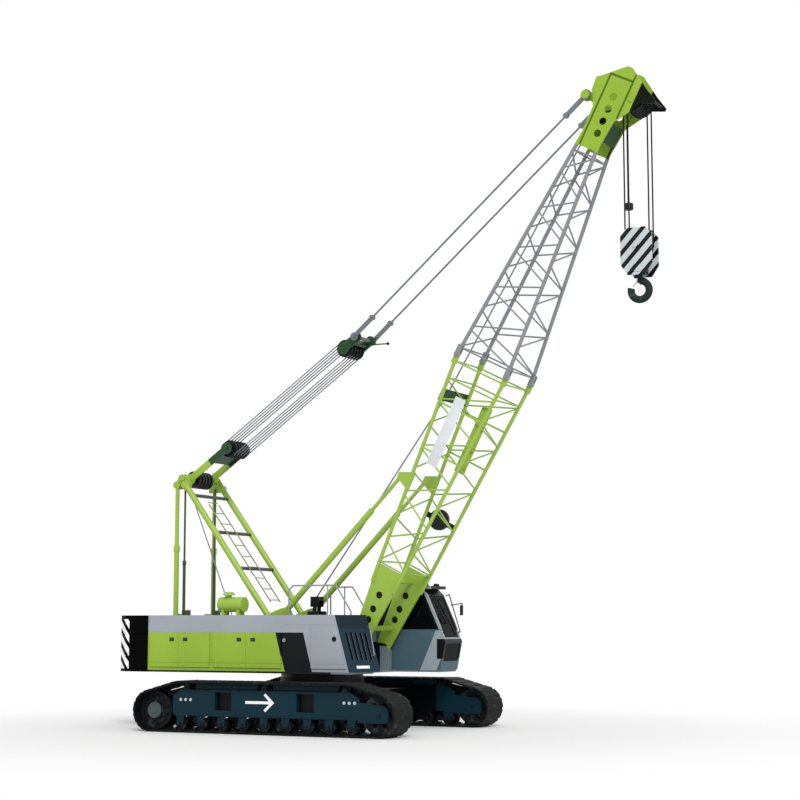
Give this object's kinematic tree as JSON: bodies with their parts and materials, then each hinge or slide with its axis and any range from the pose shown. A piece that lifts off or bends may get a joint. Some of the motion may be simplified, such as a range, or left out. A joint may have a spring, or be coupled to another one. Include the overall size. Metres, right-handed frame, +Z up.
{
  "type": "crawler crane",
  "caption": "Lattice-boom crawler crane with a slewing upperworks, cab on the left, gantry, two-section boom and hook block",
  "frame": {"origin": "On the ground under the slewing axis, midway between the tracks", "axes": "X to the front, Y to the left with the cab, Z up; boom ahead, tracks along X"},
  "size_m": [12.2143, 5.15, 13.4314],
  "materials": {
    "lime_paint": "gloss coat",
    "grey_paint": "satin coat",
    "slate_paint": "satin coat",
    "frame_paint": "satin coat",
    "deck_paint": "satin coat",
    "black_paint": "satin coat",
    "boom_grey_paint": "satin coat",
    "green_paint": "satin coat",
    "track_steel": "rough",
    "bare_steel": "satin",
    "rope_steel": "greased",
    "hook_steel": "forged",
    "sheave_plastic": "matt",
    "window_glass": "clear, dark tint",
    "seat_fabric": "matt"
  },
  "bodies": {
    "base": {"carbody": "frame_paint", "slew_ring": "bare_steel", "track_frame_right": "frame_paint", "track_frame_left": "frame_paint", "track_right": "track_steel", "track_left": "track_steel", "sprockets": "track_steel", "idlers": "track_steel", "track_rollers": "track_steel", "travel_drives": "frame_paint"},
    "upper": {"slewing_frame": "deck_paint", "counterweight": "black_paint", "house_right": "grey_paint", "house_left": "grey_paint", "engine": "deck_paint", "air_cleaner": "lime_paint", "gantry_front_legs": "lime_paint", "gantry_rear_legs": "lime_paint", "gantry_head": "lime_paint", "handrails": "bare_steel", "cab_shell": "black_paint", "cab_glass": "window_glass", "operator_seat": "seat_fabric"},
    "boom": {"boom_base": "lime_paint", "boom_top": "boom_grey_paint", "boom_head": "lime_paint", "cable_reel": "black_paint"},
    "hoist_line": {"hoist_falls": "rope_steel"},
    "door_right_1_body": {"door_right_1": "lime_paint"},
    "door_right_2_body": {"door_right_2": "lime_paint"},
    "door_right_3_body": {"door_right_3": "lime_paint"},
    "door_right_4_body": {"door_right_4": "lime_paint"},
    "door_right_front_body": {"door_right_front": "grey_paint"},
    "door_left_1_body": {"door_left_1": "lime_paint"},
    "door_left_2_body": {"door_left_2": "lime_paint"},
    "cab_door_body": {"cab_door": "slate_paint"},
    "hoist_drum_body": {"hoist_drum": "bare_steel"},
    "boom_hoist_drum_body": {"boom_hoist_drum": "bare_steel"},
    "head_sheaves_body": {"head_sheaves": "sheave_plastic"},
    "bail_body": {"bail": "lime_paint"},
    "spreader_body": {"spreader": "green_paint"},
    "pendants_body": {"pendants": "bare_steel"},
    "backstop_tubes_body": {"backstop_tubes": "lime_paint"},
    "backstop_rods_body": {"backstop_rods": "bare_steel"},
    "hook_block_body": {"hook_block": "black_paint"},
    "hook_body": {"hook": "hook_steel"}
  },
  "joints": [
    {"name": "slew", "type": "hinge", "parent": "base", "child": "upper", "pos_m": [0, 0, 1.09], "axis": [0, 0, 1], "continuous": true},
    {"name": "boom_luff", "type": "hinge", "parent": "upper", "child": "boom", "pos_m": [1.13, 0, 1.68], "axis": [0, -1, 0], "range_deg": [-33, 17]},
    {"name": "bail_turn", "type": "hinge", "parent": "upper", "child": "bail_body", "pos_m": [-3.2, 0, 5.42], "axis": [0, -1, 0], "range_deg": [-16.6, 8.69]},
    {"name": "spreader_travel", "type": "slide", "parent": "bail_body", "child": "spreader_body", "axis": [0.8198, 0, 0.5727], "range_m": [-1.613, 3.122]},
    {"name": "pendant_turn", "type": "hinge", "parent": "spreader_body", "child": "pendants_body", "pos_m": [0.98, 0, 8.34], "axis": [0, -1, 0], "range_deg": [-22.62, 11.8]},
    {"name": "backstop_turn", "type": "hinge", "parent": "upper", "child": "backstop_tubes_body", "pos_m": [-0.56, 0, 2.49], "axis": [0, -1, 0], "range_deg": [-26.9, 14]},
    {"name": "backstop_travel", "type": "slide", "parent": "backstop_tubes_body", "child": "backstop_rods_body", "axis": [0.7048, 0, 0.7094], "range_m": [-0.507, 0.975]},
    {"name": "hook_swing", "type": "hinge", "parent": "boom", "child": "hoist_line", "pos_m": [7.3007, 0, 12.7333], "axis": [0, -1, 0], "range_deg": [-17.3, 33.3]},
    {"name": "hook_hoist", "type": "slide", "parent": "hoist_line", "child": "hook_block_body", "axis": [0, 0, 1], "range_m": [-3.3, 0.4]},
    {"name": "hook_turn", "type": "hinge", "parent": "hook_block_body", "child": "hook_body", "pos_m": [7.3007, 0, 9.29], "axis": [0, 0, 1], "continuous": true},
    {"name": "head_sheave_turn", "type": "hinge", "parent": "boom", "child": "head_sheaves_body", "pos_m": [7.3007, 0, 12.7333], "axis": [0, -1, 0], "continuous": true},
    {"name": "hoist_drum_turn", "type": "hinge", "parent": "upper", "child": "hoist_drum_body", "pos_m": [-0.12, 0, 2.05], "axis": [0, -1, 0], "continuous": true},
    {"name": "boom_hoist_drum_turn", "type": "hinge", "parent": "upper", "child": "boom_hoist_drum_body", "pos_m": [-1.75, 0, 1.88], "axis": [0, -1, 0], "continuous": true},
    {"name": "door_right_1_turn", "type": "hinge", "parent": "upper", "child": "door_right_1_body", "pos_m": [-3.34, -1.64, 1.675], "axis": [0, 0, -1], "range_deg": [0, 90]},
    {"name": "door_right_2_turn", "type": "hinge", "parent": "upper", "child": "door_right_2_body", "pos_m": [-1.815, -1.64, 1.675], "axis": [0, 0, 1], "range_deg": [0, 90]},
    {"name": "door_right_3_turn", "type": "hinge", "parent": "upper", "child": "door_right_3_body", "pos_m": [-1.725, -1.64, 1.675], "axis": [0, 0, -1], "range_deg": [0, 90]},
    {"name": "door_right_4_turn", "type": "hinge", "parent": "upper", "child": "door_right_4_body", "pos_m": [-0.06, -1.64, 1.675], "axis": [0, 0, 1], "range_deg": [0, 90]},
    {"name": "door_right_front_turn", "type": "hinge", "parent": "upper", "child": "door_right_front_body", "pos_m": [0.66, -1.64, 1.76], "axis": [0, 0, -1], "range_deg": [0, 90]},
    {"name": "door_left_1_turn", "type": "hinge", "parent": "upper", "child": "door_left_1_body", "pos_m": [-1.725, 1.64, 1.675], "axis": [0, 0, 1], "range_deg": [0, 90]},
    {"name": "door_left_2_turn", "type": "hinge", "parent": "upper", "child": "door_left_2_body", "pos_m": [-0.06, 1.64, 1.675], "axis": [0, 0, -1], "range_deg": [0, 90]},
    {"name": "cab_door_turn", "type": "hinge", "parent": "upper", "child": "cab_door_body", "pos_m": [1.03, 1.64, 2.1], "axis": [0, 0, 1], "range_deg": [0, 90]}
  ],
  "couplings": [
    {"joint": "bail_turn", "follows": "boom_luff", "ratio": 0.49379},
    {"joint": "spreader_travel", "follows": "boom_luff", "m_per_rad": -5.404},
    {"joint": "pendant_turn", "follows": "boom_luff", "ratio": 0.67623},
    {"joint": "backstop_turn", "follows": "boom_luff", "ratio": 0.80616},
    {"joint": "backstop_travel", "follows": "boom_luff", "m_per_rad": -1.6763},
    {"joint": "hook_swing", "follows": "boom_luff", "ratio": -1}
  ]
}
